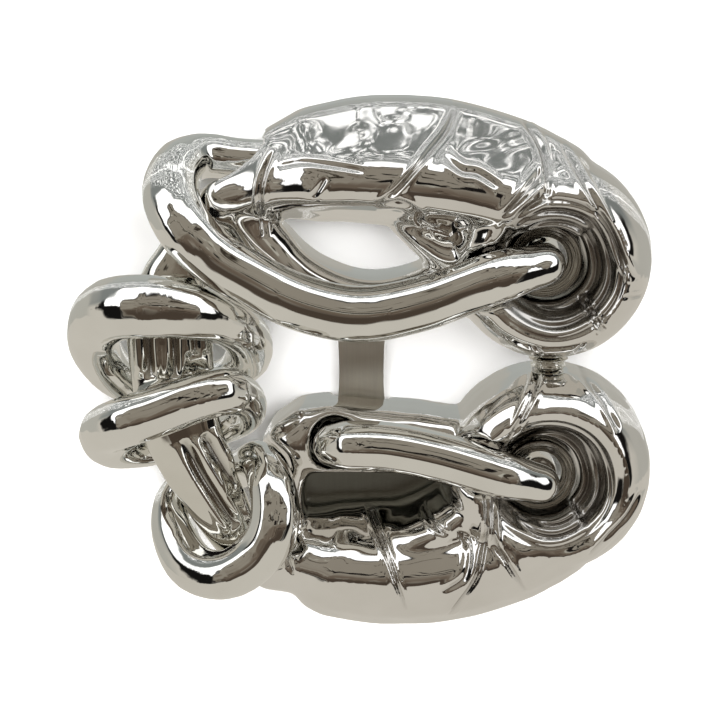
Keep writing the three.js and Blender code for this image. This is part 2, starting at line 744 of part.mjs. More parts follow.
addPiece('upper_ring', closedRing(UPPER_RING), polished());
addPiece('middle_ring', closedRing(MIDDLE_RING), polished());
addPiece('lower_ring', closedRing(LOWER_RING), polished());

export default puzzle;
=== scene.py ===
# %% [markdown]
# # A polished metal disentanglement puzzle
# Two fat, creased castings lie round an open core, with thick polished rods hooked through
# their eyes and loops that ride on the core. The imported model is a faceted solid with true
# sizes and joints. Here each solid gets a smooth cast skin, pressed creases and a finish.

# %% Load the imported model
import math

import bmesh
import bpy
import numpy as np
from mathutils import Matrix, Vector


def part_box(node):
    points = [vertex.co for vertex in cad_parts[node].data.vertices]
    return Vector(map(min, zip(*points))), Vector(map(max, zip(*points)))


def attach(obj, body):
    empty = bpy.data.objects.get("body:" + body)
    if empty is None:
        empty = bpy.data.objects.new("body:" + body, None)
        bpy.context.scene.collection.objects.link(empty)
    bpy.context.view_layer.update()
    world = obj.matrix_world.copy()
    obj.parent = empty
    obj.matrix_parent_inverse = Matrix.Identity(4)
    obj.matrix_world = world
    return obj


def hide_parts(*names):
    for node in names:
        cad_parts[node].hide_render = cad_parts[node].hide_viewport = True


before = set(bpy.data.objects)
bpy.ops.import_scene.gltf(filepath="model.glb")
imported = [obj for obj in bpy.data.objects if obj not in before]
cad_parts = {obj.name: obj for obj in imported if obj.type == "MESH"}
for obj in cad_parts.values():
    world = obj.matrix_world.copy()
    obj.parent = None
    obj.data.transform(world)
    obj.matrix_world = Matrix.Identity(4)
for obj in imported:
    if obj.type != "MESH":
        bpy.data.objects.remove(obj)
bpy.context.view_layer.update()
MM = 0.001

# %% [markdown]
# ## Helpers for materials
# Every finish is a short tree of nodes. One function adds a node, sets it and links it, and
# another turns a hex colour, as a paint chart gives it, into the linear values Blender wants.


# %% Node and colour helpers
def linear(hex_colour, alpha=1.0):
    """An sRGB hex colour as linear red, green, blue and alpha."""
    channels = [int(hex_colour[i : i + 2], 16) / 255 for i in (1, 3, 5)]
    curve = [c / 12.92 if c <= 0.04045 else ((c + 0.055) / 1.055) ** 2.4 for c in channels]
    return (*curve, alpha)


def add_node(tree, kind, settings=None, **inputs):
    """Adds a node. A node, or a node and its output's name, links. Other values are set."""
    node = tree.nodes.new(kind)
    for name, value in (settings or {}).items():
        setattr(node, name, value)
    for name, value in inputs.items():
        key = int(name[1:]) if name[0] == "_" else name.replace("_", " ")
        socket = node.inputs[key]
        if isinstance(value, bpy.types.Node):
            tree.links.new(value.outputs[0], socket)
        elif isinstance(value, tuple) and isinstance(value[0], bpy.types.Node):
            tree.links.new(value[0].outputs[value[1]], socket)
        else:
            socket.default_value = value
    return node


def new_material(name):
    """A material and its empty node tree."""
    material = bpy.data.materials.new(name)
    material.use_nodes = True
    material.node_tree.nodes.clear()
    return material, material.node_tree


def per_metre(size_mm):
    """The texture scale that makes one feature about size_mm across."""
    return 1 / (size_mm * MM)


RGBA = {"data_type": "RGBA"}
print("helpers ready: linear, add_node, new_material, per_metre")

# %% [markdown]
# ## Polished plate
# The castings are zinc alloy, tumbled, polished and plated with bright nickel and chrome. The
# eye sees a mirror that is never quite flat: the casting ripples under it, and the creases
# that a polishing wheel can't reach stay dull. Their colour is also darkened with painted shade.


# %% Mirror finishes
DRIFT_MM = 7.0  # patches where the plating is a little warmer or cooler
HAZE_MM = 1.1  # fine wear from handling
HAZE_ROUGHNESS = 0.05  # what that wear adds at its worst
RECESS_ROUGHNESS = 0.3  # what an unpolished crease adds


# The default dark colour below is painted shade, laid into creases and dishes by the recess mark.
def polished(name, light, dark, ripple_mm, ripple_depth_mm, roughness, recess_shade="#5b544c"):
    """A plated mirror metal: a tint that drifts, a slow ripple, a fine haze, dull recesses with
    painted shade.
    """
    material, tree = new_material(name)
    place = add_node(tree, "ShaderNodeTexCoord")
    drift, haze, ripple = (
        add_node(
            tree,
            "ShaderNodeTexNoise",
            Vector=(place, "Object"),
            Scale=per_metre(size_mm),
            Detail=detail,
            Roughness=rough,
        )
        for size_mm, detail, rough in (
            (DRIFT_MM, 3.0, 0.5),
            (HAZE_MM, 6.0, 0.65),
            (ripple_mm, 1.0, 0.35),
        )
    )
    recess = add_node(tree, "ShaderNodeAttribute", {"attribute_name": "recess"})
    tint = add_node(tree, "ShaderNodeMix", RGBA, _0=drift, _6=linear(light), _7=linear(dark))
    # Painted shade: where the recess mark is high, the tint is mixed towards that dark colour.
    shaded_recess_tint = add_node(
        tree, "ShaderNodeMix", RGBA, _0=(recess, "Fac"), _6=(tint, "Result"), _7=linear(recess_shade)
    )
    gloss = add_node(
        tree,
        "ShaderNodeMapRange",
        Value=haze,
        _1=0.35,
        _2=0.75,
        _3=roughness,
        _4=roughness + HAZE_ROUGHNESS,
    )
    dulled = add_node(
        tree,
        "ShaderNodeMath",
        {"operation": "MULTIPLY_ADD"},
        _0=(recess, "Fac"),
        _1=RECESS_ROUGHNESS,
        _2=(gloss, "Result"),
    )
    wave = add_node(
        tree,
        "ShaderNodeBump",
        Strength=1.0,
        Distance=ripple_depth_mm * MM,
        Height=ripple,
    )
    metal = add_node(
        tree,
        "ShaderNodeBsdfPrincipled",
        Base_Color=(shaded_recess_tint, "Result"),
        Metallic=1.0,
        Roughness=(dulled, "Value"),
        Normal=(wave, "Normal"),
    )
    add_node(tree, "ShaderNodeOutputMaterial", Surface=(metal, "BSDF"))
    return material


cast_plate = polished(
    "polished_cast_plate",
    "#f1f0ee",
    "#dddbd7",
    ripple_mm=3.2,
    ripple_depth_mm=0.018,
    roughness=0.025,
)
rod_plate = polished(
    "polished_rod_plate", "#f3f3f0", "#e3e2de", ripple_mm=5.0, ripple_depth_mm=0.03, roughness=0.02
)
core_plate = polished(
    "polished_core_plate", "#efeee9", "#d6d4cc", ripple_mm=2.6, ripple_depth_mm=0.04, roughness=0.03
)
turned_plate = polished(
    "turned_collar_plate", "#b9b5ae", "#8f8a82", ripple_mm=1.6, ripple_depth_mm=0.03, roughness=0.08
)
print("mirror finishes:", [m.name for m in bpy.data.materials])


# %% [markdown]
# ## Brushed strip and plain pins
# The strip behind the castings is plain steel, brushed along its length and left unplated, so
# it looks grey-brown and streaky. Its low end, behind the lower casting, is darkened with
# painted shade for the shadow it lies in there. The pins are the same steel, sawn and tumbled.


# %% Plain steel finishes
STREAK_STRETCH = 0.04  # a streak is this share as wide as it is long
# Painted shade: from here down in Y the strip's colour darkens, for the shadow behind the lower
# casting.
PAINTED_SHADE_FROM, PAINTED_SHADE_FULL = -9.5 * MM, -12.0 * MM  # in Y, behind the lower casting


def brushed_steel(name, light, dark, streak_mm, roughness, shaded="#ffffff"):
    """Steel brushed along Y, with streaks drawn out lengthwise, and painted shade at its low end.
    """
    material, tree = new_material(name)
    place = add_node(tree, "ShaderNodeTexCoord")
    drawn_out = add_node(
        tree, "ShaderNodeMapping", Vector=(place, "Object"), Scale=(1.0, STREAK_STRETCH, 1.0)
    )
    streaks = add_node(
        tree,
        "ShaderNodeTexNoise",
        Vector=(drawn_out, "Vector"),
        Scale=per_metre(streak_mm),
        Detail=5.0,
        Roughness=0.7,
    )
    tint = add_node(tree, "ShaderNodeMix", RGBA, _0=streaks, _6=linear(dark), _7=linear(light))
    split = add_node(tree, "ShaderNodeSeparateXYZ", Vector=(place, "Object"))
    painted_shade = add_node(
        tree,
        "ShaderNodeMapRange",
        Value=(split, "Y"),
        _1=PAINTED_SHADE_FROM,
        _2=PAINTED_SHADE_FULL,
        _3=0.0,
        _4=1.0,
    )
    # Painted shade: the tint is multiplied by the shaded colour towards the strip's low end.
    shade_painted_tint = add_node(
        tree,
        "ShaderNodeMix",
        {"data_type": "RGBA", "blend_type": "MULTIPLY"},
        _0=painted_shade,
        _6=(tint, "Result"),
        _7=linear(shaded),
    )
    grain = add_node(tree, "ShaderNodeBump", Strength=0.5, Distance=0.03 * MM, Height=streaks)
    metal = add_node(
        tree,
        "ShaderNodeBsdfPrincipled",
        Base_Color=(shade_painted_tint, "Result"),
        Metallic=1.0,
        Roughness=roughness,
        Normal=(grain, "Normal"),
    )
    add_node(tree, "ShaderNodeOutputMaterial", Surface=(metal, "BSDF"))
    return material


# The shaded colour is the strip's painted shade behind the lower casting.
strip_steel = brushed_steel(
    "brushed_strip_steel", "#fffdf4", "#e6e4df", streak_mm=0.35, roughness=0.32, shaded="#979a98"
)
pin_steel = brushed_steel(
    "tumbled_pin_steel", "#b3b1ad", "#8d8b87", streak_mm=0.5, roughness=0.4
)
print("steel finishes:", strip_steel.name, pin_steel.name)

# %% [markdown]
# ## A smooth cast skin
# The solids have flat facets, because only their size matters to the joints. A casting has
# none. A voxel remesh lays one even grid of small quads over a copy of the solid, rounds of
# smoothing melt the facets away, and a slight swell gives back what smoothing shrank. The
# rooms cut in the solid for its neighbours come along, so nothing touches that shouldn't.


# %% Even skin
def finished(source, name):
    """A new object with source's modifiers applied. The source is removed."""
    seen = source.evaluated_get(bpy.context.evaluated_depsgraph_get())
    mesh = bpy.data.meshes.new_from_object(seen)
    piece = bpy.data.objects.new(name, mesh)
    bpy.context.scene.collection.objects.link(piece)
    bpy.data.objects.remove(source)
    return piece


def even_skin(node, name, voxel_mm=0.18, rounds=90, swell_mm=0.08):
    """A smooth, even mesh round a copy of one CAD node."""
    bm = bmesh.new()
    bm.from_mesh(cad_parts[node].data)
    bmesh.ops.remove_doubles(bm, verts=bm.verts, dist=0.001 * MM)
    rough = bpy.data.objects.new("rough_" + name, bpy.data.meshes.new("rough_" + name))
    bm.to_mesh(rough.data)
    bm.free()
    bpy.context.scene.collection.objects.link(rough)
    remesh = rough.modifiers.new("even_grid", "REMESH")
    remesh.mode = "VOXEL"
    remesh.voxel_size = voxel_mm * MM
    remesh.adaptivity = 0.0
    melt = rough.modifiers.new("melt_facets", "SMOOTH")
    melt.factor = 0.5
    melt.iterations = rounds
    swell = rough.modifiers.new("swell", "DISPLACE")
    swell.mid_level = 0.0
    swell.strength = swell_mm * MM
    piece = finished(rough, name)
    piece.data.shade_smooth()
    print(name, len(piece.data.polygons), "faces")
    return piece


def dress(piece, body, slot, material, *nodes):
    """Gives a piece its finish and its body, and hides the CAD nodes that it stands for."""
    piece.data.materials.clear()
    piece.data.materials.append(material)
    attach(piece, body)
    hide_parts(*nodes)


# %% [markdown]
# ## Pressed creases
# The castings look like a stuffed, folded skin: creases run over them like those in leather.
# A crease is a valley with a raised lip on each side. Each is a short line of
# points seen from above, with a width and a depth in millimetres, and every vertex near it
# moves along its own normal. The depth fades out at both ends of the line.


# %% Crease tool
def coordinates(mesh):
    """Vertex positions and normals in millimetres, as arrays."""
    places = np.empty(len(mesh.vertices) * 3)
    normals = np.empty(len(mesh.vertices) * 3)
    mesh.vertices.foreach_get("co", places)
    mesh.vertex_normals.foreach_get("vector", normals)
    return places.reshape(-1, 3) / MM, normals.reshape(-1, 3)


def curve_through(points, steps=10):
    """Points along a smooth line through the given ones, by Catmull and Rom's rule."""
    ends = [points[0], *points, points[-1]]
    line = []
    for a, b, c, d in zip(ends, ends[1:], ends[2:], ends[3:]):
        a, b, c, d = (np.array(p, float) for p in (a, b, c, d))
        for t in np.linspace(0, 1, steps, endpoint=False):
            middle = (c - a) * t + (2 * a - 5 * b + 4 * c - d) * t**2
            line.append(b + 0.5 * (middle + (3 * b - a - 3 * c + d) * t**3))
    return np.array([*line, points[-1]])


def distance_to(line, spots):
    """Each spot's distance to the line, and how far along it the nearest place lies, 0 to 1."""
    best = np.full(len(spots), np.inf)
    along = np.zeros(len(spots))
    pieces = len(line) - 1
    for i in range(pieces):
        a, d = line[i], line[i + 1] - line[i]
        t = np.clip((spots - a) @ d / (d @ d), 0, 1)
        off = spots - a - t[:, None] * d
        gap = np.hypot(off[:, 0], off[:, 1])
        nearer = gap < best
        best[nearer] = gap[nearer]
        along[nearer] = (i + t[nearer]) / pieces
    return best, along


LIP_PLACE, LIP_WIDTH = 2.1, 0.9  # how far out a lip stands and how wide it is, in valley widths
CREASE_REACH = 3  # no vertex further off than this many valley widths is moved
END_FADE = 5  # a crease fades over this part of its length: a fifth


def press(piece, creases, lowest_mm=1.0):
    """Presses creases, given as (points, width, depth, lip), into a piece's upward side."""
    places, normals = coordinates(piece.data)
    recess = np.zeros(len(places))
    facing = np.clip((normals[:, 2] + 0.25) / 0.4, 0, 1) * (places[:, 2] > lowest_mm)
    moved = places.copy()
    for points, width, depth, lip in creases:
        line = curve_through(points)
        reach = CREASE_REACH * width
        low, high = line.min(0) - reach, line.max(0) + reach
        near = np.all((places[:, :2] > low) & (places[:, :2] < high), axis=1) & (facing > 0)
        gap, along = distance_to(line, places[near][:, :2])
        fade = np.clip(np.minimum(along, 1 - along) * END_FADE, 0, 1) ** 0.6
        valley = np.exp(-((gap / width) ** 2))
        ridge = np.exp(-(((gap - LIP_PLACE * width) / (LIP_WIDTH * width)) ** 2))
        push = (lip * ridge - valley) * depth * fade * facing[near]
        moved[near] += normals[near] * push[:, None]
        # The recess mark dulls the valley and, in the finish, darkens it with painted shade.
        recess[near] = np.maximum(recess[near], valley**2 * fade * min(1.0, depth))
    piece.data.vertices.foreach_set("co", (moved * MM).ravel())
    mark = piece.data.attributes.new("recess", "FLOAT", "POINT")
    mark.data.foreach_set("value", recess.astype(np.float32))
    piece.data.update()
    print(piece.name, len(creases), "creases,", round(np.abs(moved - places).max(), 2), "mm deep")


# %% [markdown]
# ## Slow dents
# A polishing wheel never leaves a casting quite true. Crossed sine waves, longer along X, move
# the skin in and out by a few hundredths of a millimetre, which is enough to bend a reflection.


# %% Dents
def dent(piece, pitch, depth):
    """Gives a skin slow dents of a pitch and a depth in millimetres."""
    places, normals = coordinates(piece.data)
    x, y, z = places.T * (2 * math.pi / pitch) * np.array([[0.6], [1.0], [1.0]])
    swell = np.sin(x + 1.3 * np.sin(0.6 * y)) * np.sin(0.9 * y + 1.1 * np.sin(0.7 * x + z))
    places += normals * (depth * swell)[:, None]
    piece.data.vertices.foreach_set("co", (places * MM).ravel())
    piece.data.update()
    print(piece.name, "dents up to", round(depth * np.abs(swell).max(), 3), "mm")


# %% [markdown]
# ## The eyes' nested folds
# Round each rod tip the skin is gathered into nested folds, like the end of a rolled cloth.
# They are rings of a wave round the eye's centre, strongest on the side away from the rod. The
# dish inside them is marked as a recess too: dull, because no wheel reaches it, and darkened
# with painted shade.


# %% Gathered folds
# How far the folds and the dish are marked as recesses: dull, and darkened with painted shade.
FOLD_DULL_AND_SHADE, DISH_DULL_AND_SHADE = 0.8, 0.45  # how far the folds and the dish count as recesses
DISH_FLOOR_MM = 4  # below this height the skin belongs to the back, not to the dish


def gather(piece, centre, inner, outer, pitch, depth, open_towards):
    """Presses rings of folds round centre, from inner to outer radius in millimetres."""
    places, normals = coordinates(piece.data)
    reach = places[:, :2] - np.array(centre)
    radius = np.hypot(reach[:, 0], reach[:, 1])
    angle = np.arctan2(reach[:, 1], reach[:, 0])
    away = 0.5 - 0.5 * np.cos(angle - math.radians(open_towards))
    wander = 0.16 * np.sin(2.3 * angle + 0.7) + 0.06 * np.sin(5.1 * angle)
    wave = 0.5 - 0.5 * np.cos(2 * math.pi * (radius + wander - inner) / pitch)
    rim = np.clip((radius - inner) / 0.6, 0, 1) * np.clip((outer - radius) / 0.8, 0, 1)
    up = np.clip(normals[:, 2] / 0.3, 0, 1)
    sink = depth * wave**1.5 * rim * up * np.clip(away * 1.6, 0.15, 1)
    places[:, 2] -= sink
    piece.data.vertices.foreach_set("co", (places * MM).ravel())
    mark = piece.data.attributes["recess"]
    recess = np.empty(len(places), np.float32)
    mark.data.foreach_get("value", recess)
    dish = DISH_DULL_AND_SHADE * np.clip(outer - 0.6 - radius, 0, 1) * (places[:, 2] > DISH_FLOOR_MM)
    recess = np.maximum(recess, np.maximum(FOLD_DULL_AND_SHADE * sink / depth, dish))
    mark.data.foreach_set("value", recess.astype(np.float32))
    piece.data.update()
    print(piece.name, round((outer - inner) / pitch, 1), "folds round its eye")


# %% [markdown]
# ## The upper casting
# A long diagonal fold crosses it, a cord-like fold closes its left end, and a stretched cone
# runs down to the eye. The list goes from the middle to the left end, then round the scroll.
# Each line has its points, its width, its depth and how high its lips stand beside it.

# %% Upper casting
UPPER_EYE = (20.6, 11.2)
LOWER_EYE = (20.7, -13.0)

upper_creases = [
    (
        [(10.4, 27.9), (9.1, 25.6), (7.3, 23.8), (5.5, 21.9), (3.7, 19.9), (1.8, 18.6)],
        0.22,
        0.28,
        0.6,
    ),
    (
        [(1.6, 18.3), (4.0, 18.7), (5.6, 17.9), (6.4, 16.8), (6.8, 15.6), (8.3, 14.8)],
        0.3,
        0.35,
        0.5,
    ),
    ([(-9.2, 23.4), (-10.3, 20.8), (-10.6, 18.1), (-10.2, 14.0)], 0.24, 0.3, 0.6),
    ([(-8.6, 22.0), (-5.8, 22.6), (-2.0, 22.3), (0.6, 21.9)], 0.22, 0.16, 0.5),
    ([(-3.6, 21.2), (-4.4, 19.9), (-5.0, 19.1)], 0.24, 0.2, 0.4),
    ([(17.5, 26.3), (18.9, 24.4), (19.6, 22.3), (19.9, 18.7)], 0.26, 0.3, 0.6),
    ([(21.6, 23.8), (24.2, 19.5), (26.1, 16.0), (27.6, 12.9), (29.2, 10.0)], 0.28, 0.3, 0.6),
    ([(23.9, 7.8), (25.1, 5.9), (26.2, 4.3)], 0.26, 0.28, 0.6),
    ([(28.0, 8.2), (30.4, 8.0)], 0.2, 0.14, 0.3),
    ([(19.5, 21.6), (16.9, 19.1), (15.0, 17.0)], 0.36, 0.36, 0.6),
    ([(19.9, 19.7), (17.4, 17.8), (15.6, 16.0)], 0.36, 0.36, 0.6),
    ([(8.8, 23.4), (10.6, 22.0), (12.4, 21.6), (14.6, 20.2)], 0.3, 0.24, 0.5),
]
upper_casting = even_skin("upper_body", "upper_casting", rounds=150)
dent(upper_casting, pitch=5.5, depth=0.02)
press(upper_casting, upper_creases)
gather(
    upper_casting, UPPER_EYE, inner=3.2, outer=8.0, pitch=1.25, depth=0.5, open_towards=195.0
)
dress(upper_casting, "frame", "cast_body", cast_plate, "upper_body")

# %% [markdown]
# ## The lower casting
# It mirrors the upper one, with a deep forked valley at its middle and one long slash. The
# list goes from that slash to the fork, then round the scroll, and ends at the left tip.

# %% Lower casting
lower_creases = [
    ([(-0.4, -16.1), (1.1, -18.2), (2.8, -21.1), (4.2, -24.7), (5.2, -27.9)], 0.22, 0.28, 0.6),
    ([(7.0, -17.3), (8.4, -18.3), (9.7, -19.1)], 0.26, 0.25, 0.5),
    (
        [(13.8, -13.5), (14.0, -17.0), (13.7, -19.9), (12.9, -23.5), (11.3, -26.4), (10.0, -28.8)],
        0.24,
        0.3,
        0.6,
    ),
    ([(14.6, -14.5), (14.8, -19.4), (16.2, -21.7), (18.5, -25.7)], 0.26, 0.28, 0.6),
    ([(9.0, -25.4), (11.4, -23.6), (12.0, -20.4), (10.6, -18.6)], 0.3, 0.2, 0.6),
    ([(20.3, -0.6), (18.9, -2.7), (17.6, -5.0), (16.4, -7.8)], 0.26, 0.3, 0.6),
    ([(31.0, -13.8), (29.5, -16.4), (27.3, -18.8), (25.4, -21.2)], 0.28, 0.28, 0.5),
    ([(24.4, -1.7), (26.4, -3.7), (28.3, -6.9)], 0.26, 0.25, 0.5),
    ([(-8.3, -21.7), (-7.5, -24.1)], 0.26, 0.22, 0.4),
]
lower_casting = even_skin("lower_body", "lower_casting")
dent(lower_casting, pitch=5.5, depth=0.035)
press(lower_casting, lower_creases)
gather(
    lower_casting, LOWER_EYE, inner=3.0, outer=7.4, pitch=1.2, depth=0.5, open_towards=170.0
)
dress(lower_casting, "frame", "cast_body", cast_plate, "lower_body")

# %% [markdown]
# ## Core and neck
# The core is the flat bar that the loops ride on. It is the same casting metal, gathered into
# long folds that run from loop to loop. The neck is a short waisted post between the scrolls.

# %% Core and neck
core_bar = even_skin("core_strand", "core_bar", voxel_mm=0.2, rounds=40, swell_mm=0.06)
core_creases = [
    ([(-23.2, 6.2), (-23.2, 2.4), (-23.0, -1.5)], 0.5, 0.6, 0.5),
    ([(-20.4, 6.0), (-20.2, 2.4), (-20.2, -1.5)], 0.45, 0.5, 0.5),
    ([(-18.0, 4.8), (-17.8, 1.0)], 0.4, 0.45, 0.5),
    ([(-19.4, -8.6), (-17.6, -12.6), (-15.4, -16.4), (-13.8, -18.8)], 0.5, 0.6, 0.5),
    ([(-17.2, -8.0), (-15.6, -11.0), (-13.6, -14.4)], 0.5, 0.55, 0.5),
]
press(core_bar, core_creases)
dress(core_bar, "frame", "core", core_plate, "core_strand")

neck_post = even_skin("right_neck", "neck_post", voxel_mm=0.16, rounds=12, swell_mm=0.03)
dress(neck_post, "frame", "core", core_plate, "right_neck")
print("core and neck dressed in", core_plate.name)


# %% [markdown]
# ## Eye collars
# A collar is turned, not cast: round lips nest in one another and step down to the bore where
# the rod stands. A profile of a few vertices is spun a full turn, and subdivision rounds it.

# %% Eye collars
COLLAR_BORE = 2.45 * MM
LIP_HEIGHT = 0.45 * MM
COLLAR_SHOULDER = 0.9 * MM  # how far the outer edge lies under the highest lip


def rolled_collar(name, node, lips=4, step_mm=0.33):
    """Nested lips that step down to the bore, spun round the eye inside the CAD collar."""
    low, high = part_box(node)
    centre = (low + high) / 2
    outer = (high.x - low.x) / 2
    bore = COLLAR_BORE
    bm = bmesh.new()
    width = (outer - bore) / lips
    profile = [bm.verts.new((bore, 0, low.z))]
    for lip in range(lips):
        inside = bore + lip * width
        top = high.z - step_mm * (lips - 1 - lip) * MM
        profile.append(bm.verts.new((inside, 0, top - LIP_HEIGHT)))
        profile.append(bm.verts.new((inside + width / 2, 0, top)))
    profile.append(bm.verts.new((outer, 0, high.z - COLLAR_SHOULDER)))
    profile.append(bm.verts.new((outer, 0, low.z)))
    edges = [bm.edges.new(pair) for pair in zip(profile, profile[1:] + profile[:1])]
    bmesh.ops.spin(
        bm,
        geom=profile + edges,
        cent=(0, 0, 0),
        axis=(0, 0, 1),
        angle=math.tau,
        steps=72,
        use_merge=True,
    )
    bmesh.ops.translate(bm, verts=bm.verts, vec=(centre.x, centre.y, 0))
    bmesh.ops.recalc_face_normals(bm, faces=bm.faces)
    mesh = bpy.data.meshes.new(name)
    bm.to_mesh(mesh)
    bm.free()
    collar = bpy.data.objects.new(name, mesh)
    bpy.context.scene.collection.objects.link(collar)
    rounding = collar.modifiers.new("rounding", "SUBSURF")
    rounding.levels = rounding.render_levels = 2
    mesh.shade_smooth()
    dress(collar, "frame", "collar", turned_plate, node)
    print(name, lips, "lips,", round(outer / MM, 2), "mm outer radius")


rolled_collar("upper_rolled_collar", "upper_eye_collar")
rolled_collar("lower_rolled_collar", "lower_eye_collar")

# %% [markdown]
# ## Links and loops
# These are the smoothest pieces: thick rod, bent, closed and polished all over. Their skins
# need no creases, only an even surface for clean streaks of light.

# %% Links
ROD_SKIN = {"voxel_mm": 0.2, "rounds": 42, "swell_mm": 0.09}

link_pieces = {
    "upper_link_front": ("upper_link", "upper_rod"),
    "upper_link_back": ("upper_link", "upper_return_rod"),
    "lower_link_front": ("lower_link", "lower_rod"),
    "lower_link_back": ("lower_link", "lower_return_rod"),
}
for node, (body, name) in link_pieces.items():
    rod = even_skin(node, name, **ROD_SKIN)
    dress(rod, body, "link", rod_plate, node)

# %% Loops
for place in ("upper", "middle", "lower"):
    node = place + "_ring"
    loop = even_skin(node, place + "_polished_ring", **ROD_SKIN)
    dress(loop, place + "_loop", "ring", rod_plate, node)

# %% [markdown]
# ## Strip, rivets and dowels
# These keep their CAD shape, which is right already, and only get their finish.

# %% Carried-over pieces
for node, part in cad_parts.items():
    kind = strip_steel if node == "rear_strip" else pin_steel
    if node == "rear_strip" or "rivet" in node or "dowel" in node:
        part.data.materials.clear()
        part.data.materials.append(kind)
        print(node, "in", kind.name)

# %% [markdown]
# ## Floor, light and camera
# A mirror shows its surroundings, so the studio matters more than the metal's colour. Round
# the puzzle there is a pale room. Above it hangs a bright arch of light with a dark, warm
# shape inside it, where the camera stands, and a row of small lamps lies further back.

# %% Floor
FLOOR_HALF = 2.0
FLOOR_LEVEL = -0.2 * MM  # just under the puzzle's back, so the two don't share a plane

floor_mesh = bpy.data.meshes.new("floor")
bm = bmesh.new()
bmesh.ops.create_grid(bm, x_segments=1, y_segments=1, size=FLOOR_HALF)
bm.to_mesh(floor_mesh)
bm.free()
floor = bpy.data.objects.new("floor", floor_mesh)
bpy.context.scene.collection.objects.link(floor)
floor.location.z = FLOOR_LEVEL
floor.visible_glossy = False
floor_paint, floor_tree = new_material("matt_white_board")
board = add_node(
    floor_tree, "ShaderNodeBsdfPrincipled", Base_Color=linear("#f7f7f7"), Roughness=0.9
)
add_node(floor_tree, "ShaderNodeOutputMaterial", Surface=(board, "BSDF"))
floor_mesh.materials.append(floor_paint)
print("board:", 2 * FLOOR_HALF, "m across")

# %% [markdown]
# The room is a world shader. A direction is turned into a place on a mirror ball's face, with
# the camera at its middle, and each thing in the room is a patch on that face.

# %% The room
CAMERA_TILT = math.radians(15)
room = bpy.data.worlds.new("studio_room")
room.use_nodes = True
bpy.context.scene.world = room
sky = room.node_tree
sky.nodes.clear()

MATH = "ShaderNodeMath"
ADD = {"operation": "ADD"}
MULTIPLY = {"operation": "MULTIPLY"}
DIVIDE = {"operation": "DIVIDE"}
SMOOTH = {"interpolation_type": "SMOOTHSTEP"}
FAR = 99.0  # a band's edge that is never reached
BEND = 0.05  # how far a wobble bends every edge in the room

look = add_node(sky, "ShaderNodeTexCoord")
towards, upwards, rightwards = (
    add_node(
        sky, "ShaderNodeVectorMath", {"operation": "DOT_PRODUCT"}, _0=(look, "Generated"), _1=axis
    )
    for axis in (
        (0, math.sin(CAMERA_TILT), math.cos(CAMERA_TILT)),
        (0, math.cos(CAMERA_TILT), -math.sin(CAMERA_TILT)),
        (1, 0, 0),
    )
)
# A little over 1, so that the direction straight behind has a place too.
depth = add_node(sky, MATH, ADD, _0=(towards, "Value"), _1=1.02)
wobble = add_node(
    sky, "ShaderNodeTexNoise", Vector=(look, "Generated"), Scale=6.0, Detail=2.0, Roughness=0.5
)
bend = add_node(sky, MATH, {"operation": "MULTIPLY_ADD"}, _0=wobble, _1=2 * BEND, _2=-BEND)
across, above = (
    add_node(sky, MATH, ADD, _0=add_node(sky, MATH, DIVIDE, _0=(axis, "Value"), _1=depth), _1=bend)
    for axis in (rightwards, upwards)
)
aside = add_node(sky, MATH, {"operation": "ABSOLUTE"}, _0=across)
face = add_node(sky, "ShaderNodeCombineXYZ", X=across, Y=above)
print("directions mapped with", len(sky.nodes), "nodes")


# %% Shapes in the room
def band(place, low, high, soft=0.03):
    """1 between two heights or widths, 0 outside them, with soft edges."""
    rise, fall = (
        add_node(
            sky,
            "ShaderNodeMapRange",
            SMOOTH,
            Value=place,
            _1=edge - soft,
            _2=edge + soft,
            _3=start,
            _4=1.0 - start,
        )
        for edge, start in ((low, 0.0), (high, 1.0))
    )
    return add_node(sky, MATH, MULTIPLY, _0=rise, _1=fall)


def patch(x, y, half_x, half_y, soft=0.15):
    """1 inside a rounded box on the mirror ball's face, 0 outside it."""
    reaches = []
    for place, middle, half in ((across, x, half_x), (above, y, half_y)):
        offset = add_node(sky, MATH, {"operation": "SUBTRACT"}, _0=place, _1=middle)
        share = add_node(sky, MATH, DIVIDE, _0=offset, _1=half)
        size = add_node(sky, MATH, {"operation": "ABSOLUTE"}, _0=share)
        reaches.append(add_node(sky, MATH, {"operation": "POWER"}, _0=size, _1=3.0))
    total = add_node(sky, MATH, ADD, _0=reaches[0], _1=reaches[1])
    return band(total, -1.0, 1.0, soft)


def speckle(x_scale, y_scale, low, high):
    """Irregular blotches, stretched by two different scales, as a mask."""
    stretched = add_node(
        sky, "ShaderNodeVectorMath", MULTIPLY, _0=(face, "Vector"), _1=(x_scale, y_scale, 0)
    )
    grain = add_node(
        sky,
        "ShaderNodeTexNoise",
        Vector=(stretched, "Vector"),
        Scale=1.0,
        Detail=2.0,
        Roughness=0.6,
    )
    return band(grain, (low + high) / 2, 2.0, (high - low) / 2)


def lay(under, hex_colour, strength, *masks):
    """Lays light of one colour over the room where every mask is 1."""
    mask = masks[0]
    for other in masks[1:]:
        mask = add_node(sky, MATH, MULTIPLY, _0=mask, _1=other)
    over = (*(c * strength for c in linear(hex_colour)[:3]), 1.0)
    return add_node(sky, "ShaderNodeMix", RGBA, _0=mask, _6=under, _7=over), "Result"


